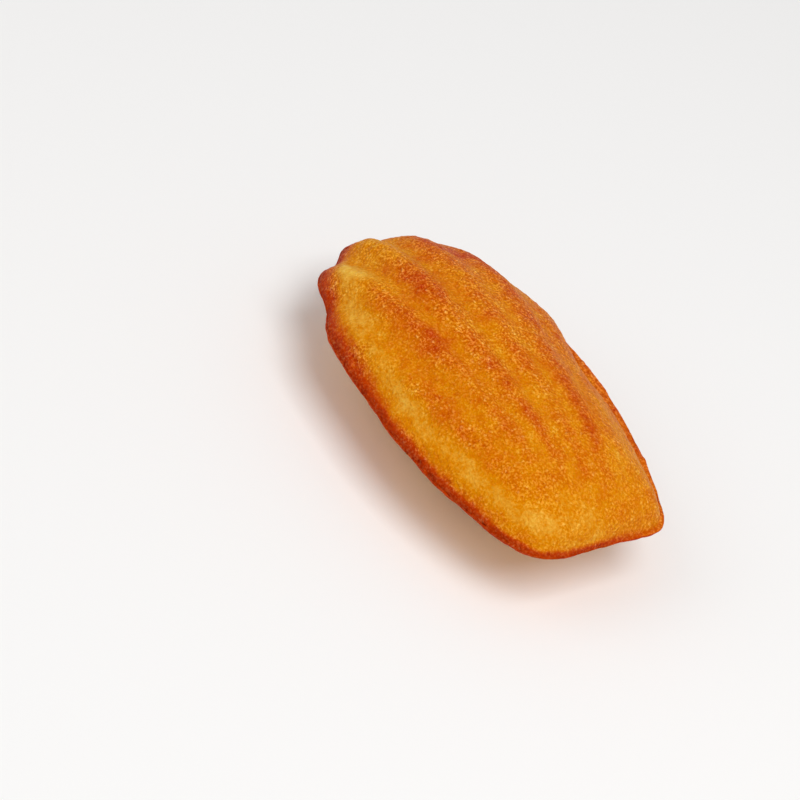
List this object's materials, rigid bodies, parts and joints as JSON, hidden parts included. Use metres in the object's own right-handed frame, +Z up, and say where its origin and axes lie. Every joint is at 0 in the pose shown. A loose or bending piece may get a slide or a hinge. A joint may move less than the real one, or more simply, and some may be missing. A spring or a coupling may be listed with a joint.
{
  "type": "madeleine cake",
  "caption": "Small shell-shaped sponge cake with a fluted top, a scalloped wide end, a straight narrow end and a risen hump underneath.",
  "frame": {"origin": "under the middle of the bounding box, on the surface that the cake lies on", "axes": "+Z up, out of the fluted side; +X to the narrow, straight end; +Y to the cake's left when looking towards the narrow end"},
  "size_m": [0.075, 0.0448, 0.0241],
  "materials": {
    "crust": "matte"
  },
  "bodies": {
    "root": {"madeleine": "crust"}
  },
  "joints": []
}
